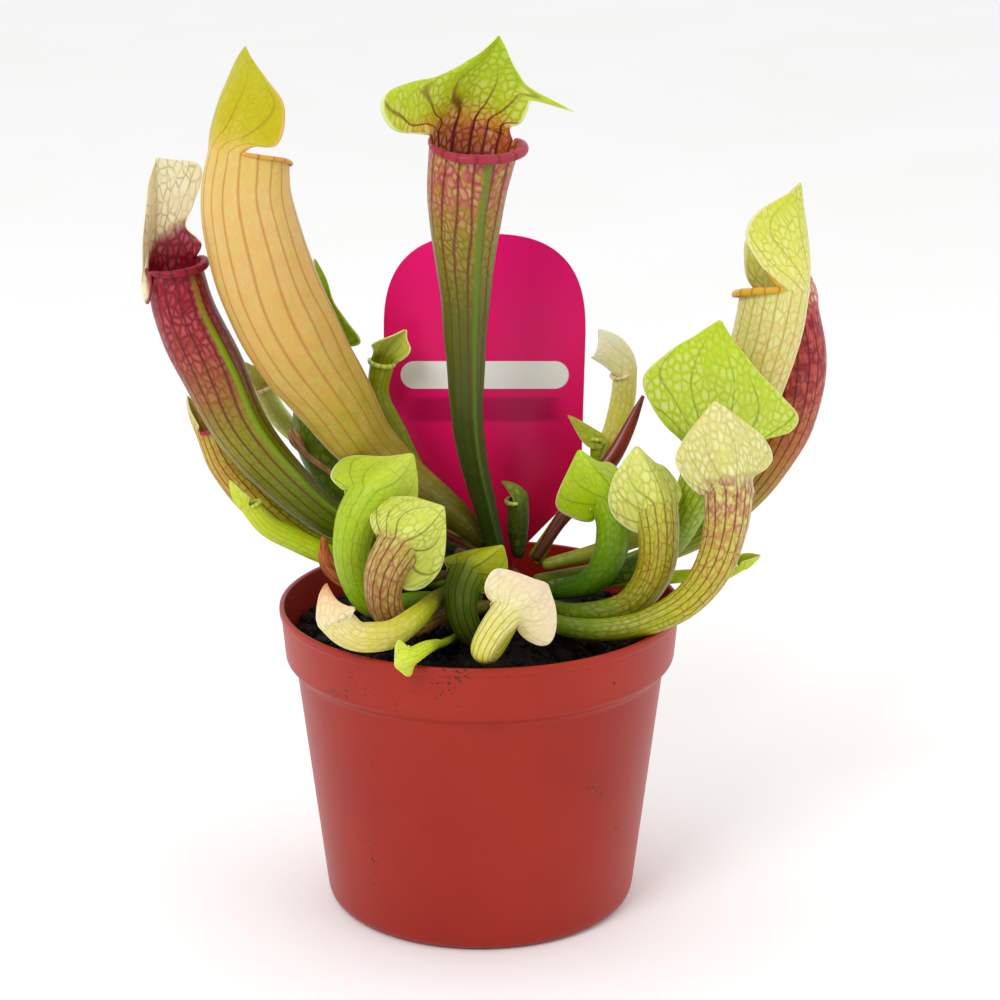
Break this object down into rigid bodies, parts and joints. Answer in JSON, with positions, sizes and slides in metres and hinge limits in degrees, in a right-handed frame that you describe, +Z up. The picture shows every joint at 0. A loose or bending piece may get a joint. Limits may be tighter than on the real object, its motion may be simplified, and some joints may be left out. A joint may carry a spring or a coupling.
{
  "type": "potted pitcher plant",
  "caption": "Low cluster of hooded, tube-shaped insect-catching leaves growing from one crown in a tapered nursery pot, with a plain plant label.",
  "frame": {"origin": "centre of the pot's flat underside", "axes": "+Z up along the pot's axis, -Y towards the front, where the tall centre leaf's mouth faces, +X to the viewer's right"},
  "size_m": [0.1512, 0.0949, 0.196],
  "materials": {
    "leaf_green_red": "waxy living leaf, green below and flushed pink-red with dark red veins above",
    "leaf_yellow": "waxy living leaf, golden yellow with thin ochre veins",
    "leaf_crimson": "waxy living leaf, crimson with pale windows and dark stripes",
    "leaf_lime": "waxy living leaf, lime green with fine darker veins",
    "leaf_cream": "thin living leaf, cream to lime green",
    "leaf_dark": "waxy living leaf, deep olive green",
    "leaf_dried": "dry brown leaf remains, matt",
    "rhizome": "dark red-brown crown, matt",
    "peat": "damp dark peat, coarse and matt",
    "pot_plastic": "thin terracotta-red moulded plastic, satin",
    "label_card": "printed plastic card, magenta shading to dark red, smooth"
  },
  "bodies": {
    "root": {"pitcher_centre_tall": "leaf_green_red", "pitcher_left_yellow": "leaf_yellow", "pitcher_left_red": "leaf_crimson", "pitcher_left_back": "leaf_lime", "pitcher_back_small": "leaf_lime", "pitcher_left_pale": "leaf_cream", "pitcher_left_veined": "leaf_green_red", "pitcher_left_low": "leaf_lime", "pitcher_front_left_green": "leaf_lime", "pitcher_front_left_veined": "leaf_green_red", "pitcher_rim_cream": "leaf_cream", "pitcher_rim_tiny": "leaf_lime", "pitcher_front_dark": "leaf_dark", "pitcher_front_cream": "leaf_cream", "pitcher_crown_young": "leaf_dark", "pitcher_back_young": "leaf_lime", "pitcher_back_pale": "leaf_yellow", "pitcher_right_green": "leaf_lime", "pitcher_right_veined": "leaf_green_red", "pitcher_right_pink": "leaf_green_red", "pitcher_right_broad": "leaf_lime", "pitcher_far_right_yellow": "leaf_yellow", "pitcher_far_right_red": "leaf_crimson", "pitcher_right_tiny": "leaf_lime", "spear_leaf_red": "leaf_crimson", "dried_bud": "leaf_dried", "dried_sheath": "leaf_dried", "old_petiole_left": "leaf_dried", "old_petiole_front": "leaf_dried", "rhizome": "rhizome", "growing_medium": "peat", "pot": "pot_plastic", "plant_label": "label_card"}
  },
  "joints": []
}
